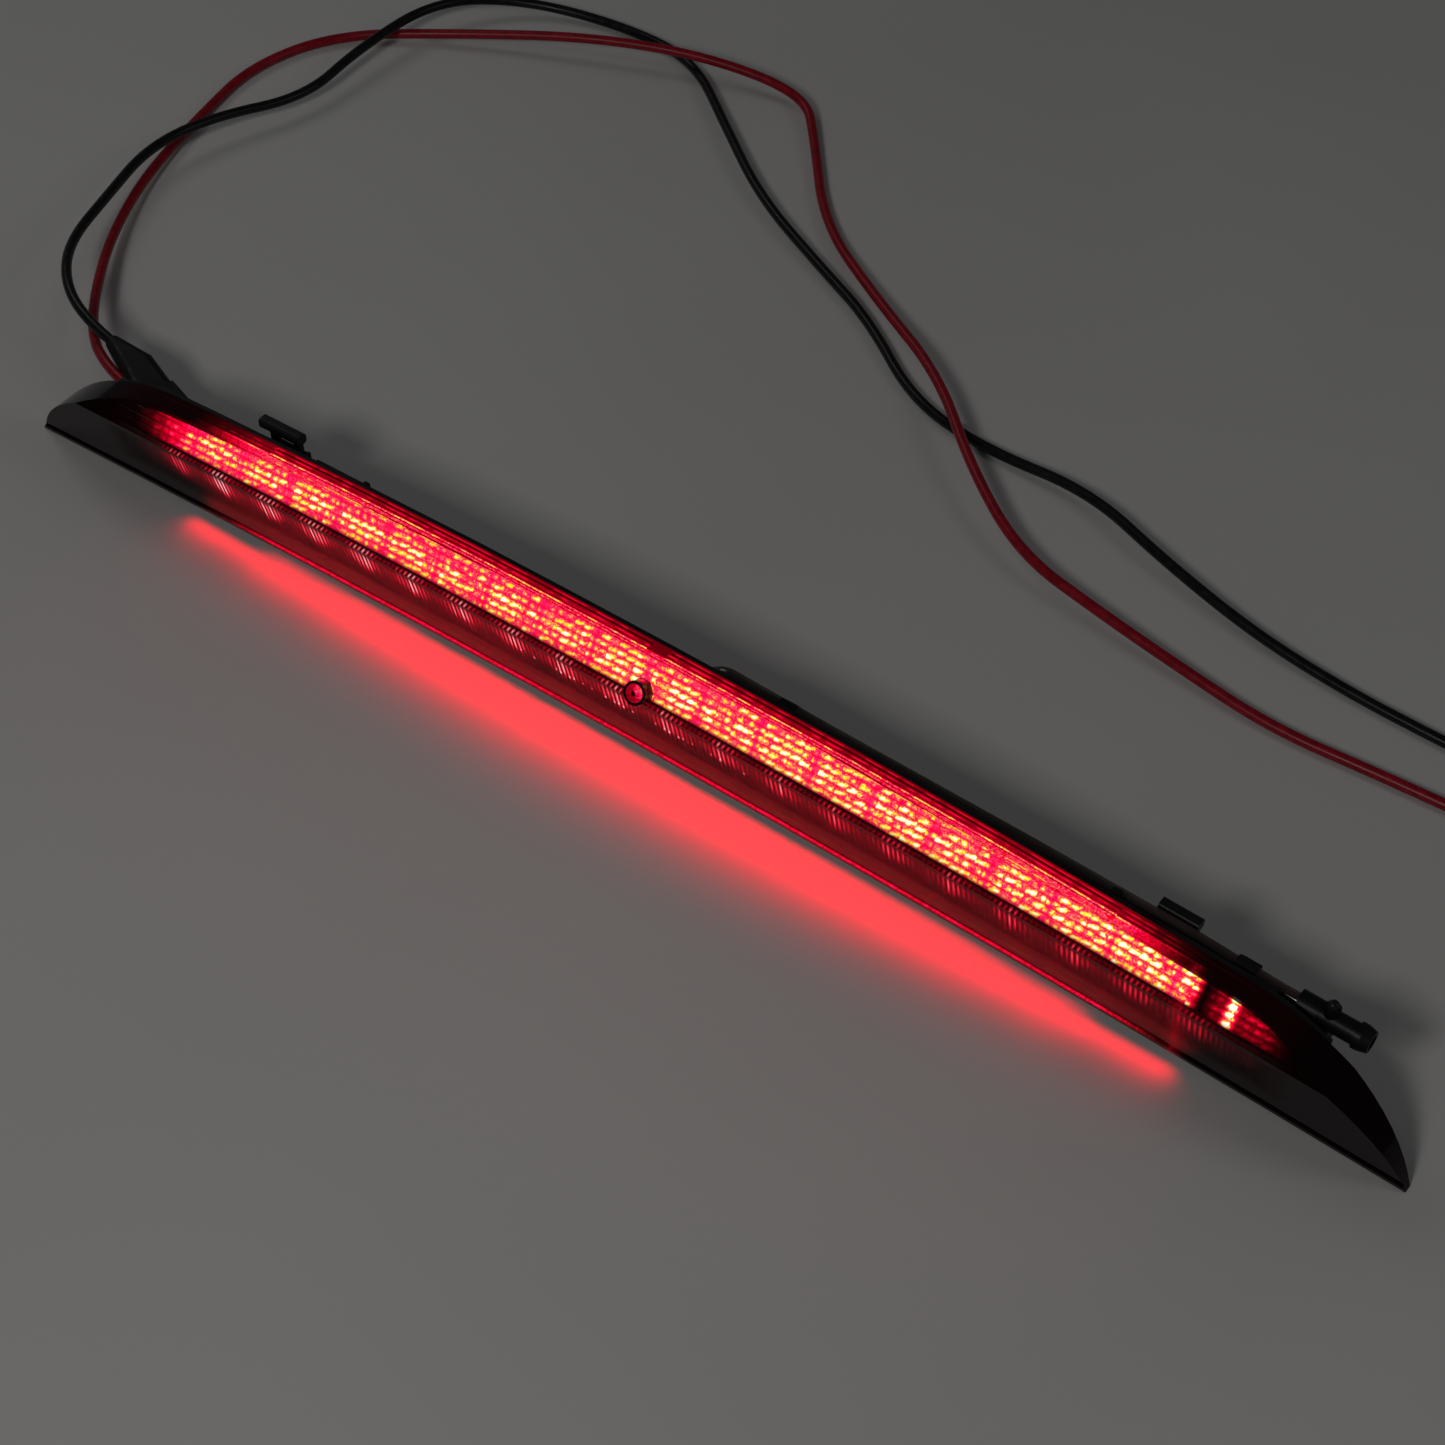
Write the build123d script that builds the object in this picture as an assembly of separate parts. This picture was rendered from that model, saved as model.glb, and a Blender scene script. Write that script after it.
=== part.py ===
from build123d import *
import math
import os

# Third brake light with a rear washer jet, millimetres, +Z up, lens facing -Y.
# The whole bar is bowed upward: every long piece follows one large arc.

# ---- driving sizes -----------------------------------------------------
HALF_LENGTH = 210.0      # middle to pointed tip
BOW = 6.0                # middle of the lower edge above the tips
SHIFT_Y = -7.31          # brings the middle of the depth to y = 0
WALL = 1.8               # lens wall
RIDGE_Y, RIDGE_Z = -5.0, 22.5      # crease between lower band and lit face
FACE_TOP_Y, FACE_TOP_Z = 1.5, 32.8  # top edge of the lit face
REAR_Y = 6.0             # plane where lens and housing meet

CELLS = 20               # lit cells
CELL_PITCH = 16.3
OPTIC_HALF = 178.0
PILLOW_ROWS = 5
PILLOWS_PER_CELL = 6
FLUTE_PITCH = 1.4
BODY_HALF = 167.0        # closed part of the housing
FLANGE_HALF = 182.0
HOUSING_WALL = 1.6

BOARD_HALF = 165.0
BOARD_THICK = 1.6
BOARD_DEPTH = 7.0        # front of the board behind the outer lit face

JET_ALONG = 1.9          # jet axis above the crease, along the lit face
TUBE_R = 3.1             # nozzle tube
HOSE_R, HOSE_BORE_R = 2.0, 1.22
HOSE_Y, HOSE_Z = 12.2, 25.3
WIRE_R = 1.5

SCREW_STATIONS = (-146.7, -48.9, 48.9, 146.7)
BAY = (-9.0, 27.0)       # stretch left open behind the light for the jet and its hose
FOOT_X = 150.0
CLIP_Y, CLIP_Z = 15.6, 20.0                      # pivot of each spring clip
CLIP_STATION = {"left": -129.9, "right": 139.3}
CLIP_WIDTH = {"left": (10.5, 3.4), "right": (9.0, 1.6)}   # stem, and how far the head hangs over
HOSE_CLIPS = ((33.0, 4.6, 0.5), (157.6, 5.2, 0.8))        # station, width, ring thickness
HOSE_RISE = 41.0         # angle of the jet's hose barb above level
BALL_DEPTH, BALL_R = 2.9, 1.7
COLLAR_R, SEAL_R = 4.3, 4.0   # nozzle collar and the seal in front of it
COUPLING_TILT = 1.9      # the coupling points down to the right
BARREL_R = 2.75
MOUTH_R = 2.0
BUTTON_X = 7.8
BUTTON_R = 1.37
PLUG_TURN = 18.0         # the socket points slightly back
PIN_Y = 2.0              # socket pins, each side of the middle

# where each wire runs inside the boot, in the plug's own frame
BLACK_IN, BLACK_OUT = (13.9, -2.0, 0.0), (43.5, -0.6, 2.6)
RED_IN, RED_OUT = (13.9, 2.0, 0.0), (27.5, 4.4, 1.6)
RED_BESIDE = (38.6, 5.4, 2.0)     # the red wire runs on beside the boot to here
# boot sections: x, y, z of the middle, then width, height and corner radius
BOOT_SECTIONS = [(17.2, 0.0, 0.0, 11.4, 9.0, 2.2), (30.5, -1.5, 1.0, 9.8, 8.2, 2.4),
                 (43.2, -0.62, 2.55, 4.3, 4.3, 2.1)]

# routes of the two loose wires on the table, from the boot to their coils
BLACK_ROUTE = [
    (-207.8, 26.6, 13.6), (-221, 28.5, 14.8), (-236.5, 37, 15.2), (-249.5, 52, 13), (-258, 75, 10.5),
    (-267.5, 102, 7.8), (-262.5, 125, 7.5), (-249, 151.5, 5), (-250, 178, 7.5), (-247.5, 212.5, 7.5),
    (-228, 233.5, 4), (-195.5, 243.5, 1.6), (-166.5, 242, 1.6), (-137.5, 219, 3), (-108.5, 197, 3),
    (-76, 182, 2), (-51, 171, 1.6), (-22, 150, 1.6), (6, 145, 1.6), (38.5, 145.5, 4), (68.5, 134.5, 4),
    (99, 127, 2.5), (126, 124, 1.6), (150, 123, 1.5), (175, 123, 1.5)]
RED_ROUTE = [
    (-194.1, 16.9, 12.6), (-205, 19.4, 13), (-220, 30, 9.5), (-234.5, 46, 7), (-249.5, 67, 5),
    (-263.5, 95.5, 3), (-272, 128, 1.6), (-277, 157, 1.6), (-266.5, 186, 1.6), (-234, 207, 3.5),
    (-195.5, 226, 7.5), (-160, 239.5, 7.5), (-126.5, 246, 3.5), (-112.5, 231, 1.6), (-86.5, 199, 1.6),
    (-53, 178, 3.5), (-18.5, 157.5, 7.5), (9.5, 131, 7.5), (36.5, 113, 5.5), (64, 108, 4.5),
    (91, 104.5, 3), (119, 101.5, 1.6), (147, 103.5, 1.6), (174, 105, 1.5), (202, 105, 1.5)]
COIL_R = 16.5            # middle of the coiled turns
COIL_TURNS = 3
COIL_AT = {"black": (186.0, 1), "red": (214.0, -1)}   # x of the centre, and the side it winds to
LEAD_OUT = ((3, 16, 10.4), (13, 9, 14.2))   # from the top of a coil to the connector lying on it

ARC_R = (HALF_LENGTH**2 + BOW**2) / (2 * BOW)
CENTRE = Axis((0, 0, BOW - ARC_R), (0, 1, 0))

# unit vectors of the lit face: up along it, and inward across it
_len = math.hypot(FACE_TOP_Y - RIDGE_Y, FACE_TOP_Z - RIDGE_Z)
UP = ((FACE_TOP_Y - RIDGE_Y) / _len, (FACE_TOP_Z - RIDGE_Z) / _len)
IN = (UP[1], -UP[0])
JET_Z = RIDGE_Z + JET_ALONG * UP[1] + 19.17 * IN[1]
JET_BARB = Pos(0, HOSE_Y, BOW + JET_Z) * Rot(0, 90 - HOSE_RISE, 0)
PLUG_FRAME = Pos(-166.6, 12.6, 11.0) * Rot(0, 0, 180 - PLUG_TURN)
COUPLING_FRAME = Pos(172.0, HOSE_Y, 26.3) * Rot(0, COUPLING_TILT, 0)


def face_point(along, depth):
    """(y, z) of a point above the crease and behind the lit face."""
    return (RIDGE_Y + along * UP[0] + depth * IN[0],
            RIDGE_Z + along * UP[1] + depth * IN[1])


def inset(points, gaps):
    """Move every edge of a clockwise-in-view polygon inward by its gap."""
    count = len(points)
    area = sum(points[i][0] * points[(i + 1) % count][1]
               - points[(i + 1) % count][0] * points[i][1] for i in range(count))
    side = 1 if area > 0 else -1
    lines = []
    for i in range(count):
        (ax, ay), (bx, by) = points[i], points[(i + 1) % count]
        run = math.hypot(bx - ax, by - ay)
        nx, ny = -side * (by - ay) / run, side * (bx - ax) / run
        lines.append((ax + nx * gaps[i], ay + ny * gaps[i], (bx - ax) / run, (by - ay) / run))
    result = []
    for i in range(count):
        px, py, ux, uy = lines[i - 1]
        qx, qy, vx, vy = lines[i]
        cross = ux * vy - uy * vx
        t = ((qx - px) * vy - (qy - py) * vx) / cross
        result.append((px + ux * t, py + uy * t))
    return result


def bent(points, x_from, x_to):
    """Closed (y, z) outline carried along the bow between two stations."""
    wire = Wire.make_polygon([Vector(0, y, z + BOW) for y, z in points], close=True)
    start = math.degrees(x_from / ARC_R)
    span = math.degrees((x_to - x_from) / ARC_R)
    face = Face(wire).rotate(CENTRE, start)
    return revolve(face, axis=CENTRE, revolution_arc=span)


def station(x):
    """Place something drawn at the middle of the bar at another station."""
    return (Pos(0, 0, BOW - ARC_R) * Rot(0, math.degrees(x / ARC_R), 0)
            * Pos(0, 0, ARC_R))


def on_face(x, along, depth):
    """Frame on the lit face: local Y up along the face, local Z outward."""
    y, z = face_point(along, depth)
    return station(x) * Location(Plane((0, y, z), x_dir=(1, 0, 0), z_dir=(0, -UP[1], UP[0])))


def box_between(x0, x1, y0, y1, z0, z1):
    return Pos((x0 + x1) / 2, (y0 + y1) / 2, (z0 + z1) / 2) * Box(x1 - x0, y1 - y0, z1 - z0)


# ---- lens --------------------------------------------------------------
LENS_OUTER = [(0, 0), (-0.55, 0), (-0.85, 1.3), (-0.37, 1.65), (RIDGE_Y, RIDGE_Z),
              (FACE_TOP_Y, FACE_TOP_Z), (REAR_Y, FACE_TOP_Z), (REAR_Y, 0)]
LENS_BARE = [(0, 0), (RIDGE_Y, RIDGE_Z), (FACE_TOP_Y, FACE_TOP_Z), (REAR_Y, FACE_TOP_Z),
             (REAR_Y, 0)]
LENS_INNER = inset(LENS_BARE, [WALL, WALL, WALL, -3.0, WALL])
END_CURVE = [(44, 39.0), (70, 37.9), (99, 36.8), (130, 35.0), (150, 33.9), (160, 33.1),
             (170, 31.6), (178, 28.9), (186, 25.2), (195, 19.2), (202, 12.6), (207.6, 4.9), (210, 0.0)]


def outline_solid(gap):
    """Front-view outline of the bar with its two pointed ends."""
    pts = []
    for i, (x, z) in enumerate(END_CURVE):
        ax, az = END_CURVE[max(i - 1, 0)]
        bx, bz = END_CURVE[min(i + 1, len(END_CURVE) - 1)]
        run = math.hypot(bx - ax, bz - az)
        pts.append((x + gap * (bz - az) / run, z - gap * (bx - ax) / run))
    right = Spline([Vector(x, 0, z) for x, z in pts])
    left = Spline([Vector(-x, 0, z) for x, z in pts])
    x0, z0 = pts[0]
    xe, ze = pts[-1]
    rest = Polyline([(xe, 0, ze), (xe, 0, -9), (-xe, 0, -9), (-xe, 0, ze)])
    top = Polyline([(-x0, 0, z0), (-x0, 0, z0 + 12), (x0, 0, z0 + 12), (x0, 0, z0)])
    face = Face(Wire(right.edges() + rest.edges() + left.edges() + top.edges()))
    return Pos(0, 30, 0) * extrude(face, 60, dir=(0, -1, 0))


def outer_lens():
    shell = bent(LENS_OUTER, -HALF_LENGTH - 3, HALF_LENGTH + 3) & outline_solid(0)
    hollow = bent(LENS_INNER, -HALF_LENGTH, HALF_LENGTH) & outline_solid(2.2)
    lens = shell - hollow
    # two sets of three narrow rails along the top strip, broken in the middle
    for x in (-180, 180):
        lens += bent(inset(LENS_BARE, [1.0, 1.0, 1.0, 0, 1.0]), x - 1, x + 1) & outline_solid(1.0)
    for x0, x1 in ((-122.0, -1.5), (4.0, 129.0)):
        for y in (2.35, 3.65, 4.95):
            rail = bent([(y - 0.42, 29.5), (y - 0.3, 33.25), (y + 0.3, 33.25), (y + 0.42, 29.5)], x0, x1)
            lens += (rail & outline_solid(-0.45)) - hollow
    # the wings get thinner towards the tips
    for x0, x1 in ((183, 216), (-216, -183)):
        lens -= bent([(1.6, -3), (1.7, 0), (6.05, 22), (6.05, 32.5), (14, 32.5), (14, -3)], x0, x1)
    lens -= on_face(0, JET_ALONG, 0) * Cylinder(TUBE_R + 0.1, 14)
    return lens


# ---- optics, light box, board ------------------------------------------
def inner_optic():
    """Pillow plate behind the lit face: five rows, six columns to a cell."""
    low, high = 0.8, 11.1
    step = (high - low) / PILLOW_ROWS
    front = []
    for k in range(PILLOW_ROWS):
        s = low + k * step
        front += [(s + 0.02, 2.55), (s + 0.35, 2.15), (s + step - 0.35, 2.15), (s + step - 0.02, 2.55)]
    outline = [face_point(s, n) for s, n in [(low, 3.3)] + front + [(high, 3.3)]]
    plate = bent(outline, -OPTIC_HALF, OPTIC_HALF)
    pitch = CELL_PITCH / PILLOWS_PER_CELL
    count = int(OPTIC_HALF / pitch)
    tool = Face(Wire.make_polygon([Vector(-0.42, -2, 1.0), Vector(0.42, -2, 1.0), Vector(0, -2, -0.42)]))
    tool = extrude(tool, 16, dir=(0, 1, 0))
    grooves = [on_face((i + 0.5) * pitch, 0, 2.13) * tool for i in range(-count, count)]
    plate = plate.cut(*grooves)
    plate = plate - on_face(0, JET_ALONG, 0) * Cylinder(TUBE_R + 0.25, 14)
    return plate & outline_solid(2.4)


def lower_optic():
    """Fluted strip behind the lower band."""
    run = math.hypot(RIDGE_Y, RIDGE_Z)
    ux, uz = RIDGE_Y / run, RIDGE_Z / run

    def at(along, depth):
        return (along * ux + depth * uz, along * uz - depth * ux)

    strip = bent([at(5.5, 2.1), at(18.0, 2.1), at(18.0, 3.6), at(5.5, 3.6)], -OPTIC_HALF, OPTIC_HALF)
    tool = Face(Wire.make_polygon([Vector(-0.5, 0, 0.5), Vector(0.5, 0, 0.5), Vector(0, 0, -0.55)]))
    tool = extrude(tool, 12.4, dir=(0, 1, 0))
    count = int((OPTIC_HALF - 2) / FLUTE_PITCH / 2)
    y, z = at(7.2, 2.1)
    flutes = []
    for i in range(-count, count + 1):
        place = station(i * FLUTE_PITCH * 2) * Location(
            Plane((0, y, z), x_dir=(1, 0, 0), z_dir=(0, -uz, ux)))
        flutes.append(place * tool)
    return strip.cut(*flutes) - on_face(0, JET_ALONG, 0) * Cylinder(TUBE_R + 0.25, 14)


def light_box():
    """Open frame with one partition between neighbouring cells."""
    def wall(s0, s1, n0, n1, half):
        return bent([face_point(s0, n0), face_point(s0, n1), face_point(s1, n1), face_point(s1, n0)],
                    -half, half)

    half = CELLS / 2 * CELL_PITCH + 0.6
    box = wall(0.2, 11.3, 3.5, 6.9, half)
    tool = Box(CELL_PITCH - 1.0, 9.3, 12)
    pockets = [on_face((i + 0.5) * CELL_PITCH, 5.85, 5) * tool for i in range(-CELLS // 2, CELLS // 2)]
    heads = [on_face(x, 0.9, BOARD_DEPTH) * Cylinder(2.3, 3.2) for x in SCREW_STATIONS]
    box = box.cut(*pockets, *heads) & outline_solid(2.4)
    return box - on_face(0, JET_ALONG, 0) * Pos(0, 0, -5) * Cylinder(TUBE_R + 0.25, 12)


def led_board():
    board = bent([face_point(s, n) for s, n in ((-0.5, BOARD_DEPTH), (10.3, BOARD_DEPTH),
                 (10.3, BOARD_DEPTH + BOARD_THICK), (-0.5, BOARD_DEPTH + BOARD_THICK))],
                 -BOARD_HALF, BOARD_HALF)
    holes = [on_face(0, JET_ALONG, BOARD_DEPTH) * Cylinder(TUBE_R + 0.25, 8),
             on_face(0, JET_ALONG - 3, BOARD_DEPTH) * Box(2 * TUBE_R + 0.5, 6, 8)]
    for x in SCREW_STATIONS:
        holes.append(on_face(x, 0.9, BOARD_DEPTH) * Cylinder(1.3, 8))
    return board.cut(*holes)


def leds():
    """One surface-mounted lamp per cell: body with a small clear dome."""
    one = Pos(0, 0, 0.55) * Box(3.5, 2.8, 1.1) + Pos(0, 0, 0.9) * (
        Sphere(1.15) & (Pos(0, 0, 1) * Box(4, 4, 2)))
    lamps = []
    for i in range(-CELLS // 2, CELLS // 2):
        lamps.append(on_face((i + 0.5) * CELL_PITCH, 5.6, BOARD_DEPTH) * one)
    return lamps


def resistors():
    """Series resistors on the back of the board, one to every two lamps."""
    one = Pos(0, 0, -0.3) * Box(3.1, 1.6, 0.6)
    parts = []
    for i in range(CELLS // 2):
        x = (i - CELLS / 4 + 0.5) * CELL_PITCH * 2
        parts.append(on_face(x, 4.4, BOARD_DEPTH + BOARD_THICK) * one)
    return parts


def board_screws():
    """Pan-head screws holding the board to posts of the housing."""
    head = Pos(0, 0, 0.65) * Cylinder(1.75, 1.3) - Pos(0, 0, 1.0) * Box(0.6, 2.6, 0.7)
    shank = Pos(0, 0, -2.6) * Cylinder(1.1, 5.2)
    return [on_face(x, 0.9, BOARD_DEPTH) * (head + shank) for x in SCREW_STATIONS]


# ---- housing -----------------------------------------------------------
HOUSING_OUTER = [(REAR_Y, 0.8), (17, 0.8), (19, 2.8), (19, 14.0), (14.3, 20.6), (10.2, 21.3),
                 (9.9, 27.2), (7.0, 31.0), (REAR_Y, 31.2)]
HOUSING_INNER = inset(HOUSING_OUTER, [HOUSING_WALL] * 8 + [-1.0])


def rear_housing():
    body = bent(HOUSING_OUTER, -BODY_HALF, BODY_HALF)
    half = BODY_HALF - HOUSING_WALL
    cavity = bent(HOUSING_INNER, -half, half)
    # the bay keeps only a thin wall behind the board
    bay_cut = bent([(9.9, 5.0), (40, 5.0), (40, 40), (9.9, 40)], BAY[0], BAY[1])
    bay_wall = bent([(8.3, 4.0), (30, 4.0), (30, 29.5), (8.3, 29.5)],
                    BAY[0] - HOUSING_WALL, BAY[1] + HOUSING_WALL)
    bay_floor_keep = bent([(5, 3.4), (30, 3.4), (30, 5.0), (5, 5.0)],
                          BAY[0] - HOUSING_WALL, BAY[1] + HOUSING_WALL)
    cavity = cavity - bay_wall - bay_floor_keep
    flange = bent([(REAR_Y, 0.3), (7.6, 0.3), (7.6, 32.3), (REAR_Y, 32.3)],
                  -FLANGE_HALF, FLANGE_HALF) & outline_solid(0.5)
    posts = []
    for x in SCREW_STATIONS:
        post = on_face(x, 0.9, BOARD_DEPTH + BOARD_THICK) * Pos(0, 0, -12) * Cylinder(2.6, 24)
        posts.append(post & body)
    housing = ((body - bay_cut) & outline_solid(0.5)) + flange
    housing = housing - cavity - seal_bead()
    for post in posts:
        housing += post
    for x in SCREW_STATIONS:
        housing -= on_face(x, 0.9, BOARD_DEPTH + BOARD_THICK) * Pos(0, 0, -3.0) * Cylinder(1.12, 6.4)
    # cup that carries the nozzle through the bay wall, with a notch for the hose
    housing += on_face(0, JET_ALONG, 14.6) * Cylinder(COLLAR_R + 1.4, 6.4)
    housing -= on_face(0, JET_ALONG, 13.6) * Cylinder(TUBE_R + 0.05, 14)
    housing -= on_face(0, JET_ALONG, 14.7) * Cylinder(SEAL_R + 0.05, 2.8)
    housing -= on_face(0, JET_ALONG, 18.0) * Cylinder(COLLAR_R + 0.1, 3.9)
    housing -= hose_space(2.4)
    # feet at the lower rear corners
    for x in (-FOOT_X, FOOT_X):
        housing += box_between(x - 4, x + 4, 13.5, 18.8, 0, 5.5)
    # seats for the two spring clips
    for side in ("left", "right"):
        x, wide = CLIP_STATION[side], CLIP_WIDTH[side][0]
        seat = box_between(-wide / 2 - 1, wide / 2 + 1, 14.4, 17.4, 16.0, 20.4)
        housing += station(x) * seat
        housing -= station(x) * Pos(0, CLIP_Y, CLIP_Z) * Rot(0, 90, 0) * Cylinder(1.25, wide + 0.3)
        housing -= station(x) * box_between(-wide / 2 - 0.15, wide / 2 + 0.15, 14.75, 18, 20.0, 22)
    # locating rib, pip and the slanted end saddle for the hose coupling
    housing += station(-105.0) * box_between(-9, 9, 8.4, 10.6, 26.8, 28.0)
    housing += station(-96.8) * box_between(-0.8, 0.8, 8.4, 10.6, 26.8, 29.1)
    housing += station(125.2) * box_between(-1.2, 1.2, 8.2, 9.9, 25.5, 30.6)
    saddle = box_between(177.8, 181.2, 7.0, 15.0, 20.2, 25.6)
    housing += saddle - COUPLING_FRAME * Rot(0, 90, 0) * Cylinder(BARREL_R, 60)
    # hose clip seats: flats on the shelf
    for x, wide, thick in HOSE_CLIPS:
        housing += station(x) * box_between(-wide / 2, wide / 2, 9.8, 14.4, 19.5, 21.6)
    # plug socket on the left end
    shroud = box_between(0, 10, -5.6, 5.6, -4.6, 4.6) - box_between(1.4, 11, -4.4, 4.4, -3.4, 3.4)
    root = box_between(-3.2, 1.4, -5.6, 5.6, -4.6, 4.6)
    housing += PLUG_FRAME * (shroud + root)
    housing -= PLUG_FRAME * box_between(1.4, 11, -4.4, 4.4, -3.4, 3.4)
    housing += PLUG_FRAME * box_between(5.0, 7.4, -2.2, 2.2, 4.4, 5.3)
    for y in (-PIN_Y, PIN_Y):
        housing -= PLUG_FRAME * box_between(-6, 3, y - 0.4, y + 0.4, -0.4, 0.4)
    return housing


def seal_bead():
    """Rubber cord in a loop between the lens rim and the housing flange."""
    loop = bent([(REAR_Y, 0.6), (6.8, 0.6), (6.8, 32.0), (REAR_Y, 32.0)], -181.4, 181.4)
    hole = bent([(5, 1.4), (8, 1.4), (8, 31.2), (5, 31.2)], -180.6, 180.6)
    return (loop & outline_solid(0.8)) - (hole & outline_solid(1.6))


# ---- washer jet --------------------------------------------------------
def hose_space(radius):
    """Room around the hose where it leaves the jet."""
    return JET_BARB * Pos(0, 0, 12) * Cylinder(radius, 16)


def nozzle_body():
    tube = on_face(0, JET_ALONG, 8.6) * Cylinder(TUBE_R, 19.0)          # depth -0.9 .. 18.1
    collar = on_face(0, JET_ALONG, 16.9) * Cylinder(COLLAR_R, 1.6) - hose_space(2.1)
    knob = station(0) * Pos(0, HOSE_Y, JET_Z) * Sphere(3.4)
    barb = JET_BARB * Pos(0, 0, 5.6) * Cylinder(1.22, 9.2)
    for z in (5.2, 7.2, 9.2):
        barb += JET_BARB * Pos(0, 0, z) * Cone(1.22, 1.215, 0.6)
    body = tube + collar + knob + barb
    body -= on_face(0, JET_ALONG, 0.7) * Cylinder(2.3, 3.4)              # open front
    body -= on_face(0, JET_ALONG, BALL_DEPTH) * Sphere(BALL_R + 0.04)
    body -= on_face(0, JET_ALONG, 11.0) * Cylinder(0.9, 16.4)
    body -= JET_BARB * Pos(0, 0, 5) * Cylinder(0.75, 12)
    return body


def jet_ball():
    """Aimable ball with a small spout; it sits turned down and to one side."""
    ball = Sphere(BALL_R) + Pos(0, 0, 2.0) * Cylinder(0.75, 2.2) - Pos(0, 0, 1.2) * Cylinder(0.35, 5)
    return on_face(0, JET_ALONG, BALL_DEPTH) * Rot(10, -12, 0) * ball


def nozzle_seal():
    return on_face(0, JET_ALONG, 15.0) * (Cylinder(SEAL_R, 1.9) - Cylinder(TUBE_R, 4)) - hose_space(2.1)


def bar_height(z, x):
    return z + BOW * (1 - (x / HALF_LENGTH)**2)


def hose_route():
    start = JET_BARB * Pos(0, 0, 4.1)
    top = HOSE_Z + 0.9
    turn = (top - JET_Z) / math.tan(math.radians(HOSE_RISE))
    pts = [start.position, Vector(turn, HOSE_Y, top + BOW)]
    for x in (45.0, 100.0, 145.0):
        pts.append(Vector(x, HOSE_Y, bar_height(HOSE_Z, x)))
    pts += [(COUPLING_FRAME * Pos(-5.0, 0, 0)).position, (COUPLING_FRAME * Pos(4.4, 0, 0)).position]
    return FilletPolyline(pts, radius=[7, 200, 300, 200, 60])


def washer_hose():
    path = hose_route()
    start = Plane(origin=path @ 0, z_dir=path % 0)
    ring = start * (Circle(HOSE_R) - Circle(HOSE_BORE_R))
    return sweep(ring, path=path)


def hose_height(x):
    """Height of the hose's middle above the table at a station."""
    if x <= 145:
        return bar_height(HOSE_Z, x)
    z0 = bar_height(HOSE_Z, 145)
    near = (COUPLING_FRAME * Pos(-5.0, 0, 0)).position
    return z0 + (near.Z - z0) * (x - 145) / (near.X - 145)


def hose_clips():
    """Open rings that snap over the hose, each on a small base."""
    parts = []
    for x, wide, thick in HOSE_CLIPS:
        outer = HOSE_R + thick
        ring = Rot(0, 90, 0) * (Cylinder(outer, wide) - Cylinder(HOSE_R + 0.02, wide + 2))
        ring -= Rot(-50, 0, 0) * box_between(-4, 4, -1.2, 1.2, 0, 5)
        z = hose_height(x) - bar_height(0, x)
        foot = box_between(-wide / 2, wide / 2, -1.5, 1.5, 21.6 - z, -HOSE_R - 0.2)
        parts.append(station(x) * Pos(0, HOSE_Y, z) * (ring + foot))
    return parts


def coupling_body():
    """Quick coupling: collar over the hose, barrel, button turret, open mouth."""
    def rod(r, x0, x1):
        return Pos((x0 + x1) / 2, 0, 0) * Rot(0, 90, 0) * Cylinder(r, x1 - x0)

    body = rod(3.15, 0, 5.6) + rod(BARREL_R, 5.0, 15.6)
    body += Pos(17.2, 0, 0) * Rot(0, 90, 0) * Cone(3.3, 2.7, 2.4) + rod(3.3, 14.6, 16.0)
    body += Pos(BUTTON_X, 0, 3.0) * Cylinder(1.95, 2.6)
    body -= rod(HOSE_R + 0.02, -1, 4.6)
    body += rod(1.2, 0.6, 5.0)
    body -= rod(0.7, 0, 12)
    body -= rod(1.2, 5.8, 12)
    body -= rod(MOUTH_R, 10.4, 20)
    body -= rod(2.4, 12.6, 13.5)
    body -= Pos(BUTTON_X, 0, 3.9) * Cylinder(1.42, 4.6)
    return COUPLING_FRAME * body


def coupling_seal():
    """O-ring in the mouth of the coupling."""
    return COUPLING_FRAME * Pos(13.05, 0, 0) * Rot(0, 90, 0) * Torus(2.03, 0.36)


def release_button():
    return COUPLING_FRAME * Pos(BUTTON_X, 0, 0) * (
        Pos(0, 0, 3.95) * Cylinder(BUTTON_R, 2.5) + Pos(0, 0, 5.0) * Sphere(BUTTON_R))


def button_spring():
    path = Helix(pitch=0.34, height=0.72, radius=0.95)
    wire = sweep(Plane(origin=path @ 0, z_dir=path % 0) * Circle(0.12), path=path)
    return COUPLING_FRAME * Pos(BUTTON_X, 0, 1.78) * wire


def spring_clip(side):
    """Retaining clip: root bar, windowed stem and a hooked head."""
    wide, over = CLIP_WIDTH[side]
    clip = Pos(0, CLIP_Y, CLIP_Z) * Rot(0, 90, 0) * Cylinder(1.2, wide)
    clip += box_between(-wide / 2, wide / 2, CLIP_Y - 0.7, CLIP_Y + 0.7, CLIP_Z, 25.0)
    clip -= box_between(-wide / 2 + 2.4, wide / 2 - 2.2, CLIP_Y - 2, CLIP_Y + 2, 21.6, 23.6)
    head = box_between(-wide / 2 - over, wide / 2, CLIP_Y - 1.1, CLIP_Y + 2.1, 23.6, 26.6)
    head = fillet(head.edges().filter_by(Axis.X), 0.9)
    return station(CLIP_STATION[side]) * (clip + head)


# ---- electrical connection ---------------------------------------------
HEADER_FRAME = on_face(-153.0, 4.2, BOARD_DEPTH + BOARD_THICK)


def board_header():
    body = Pos(0, 0, -1.35) * Box(6.6, 5.0, 2.7)
    for y in (-1.25, 1.25):
        body -= Pos(-2.0, y, -1.35) * Rot(0, 90, 0) * Cylinder(0.62, 4.0)
    return HEADER_FRAME * body


def socket_pins():
    return [PLUG_FRAME * box_between(-5.5, 8.0, y - 0.4, y + 0.4, -0.4, 0.4) for y in (-PIN_Y, PIN_Y)]


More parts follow.
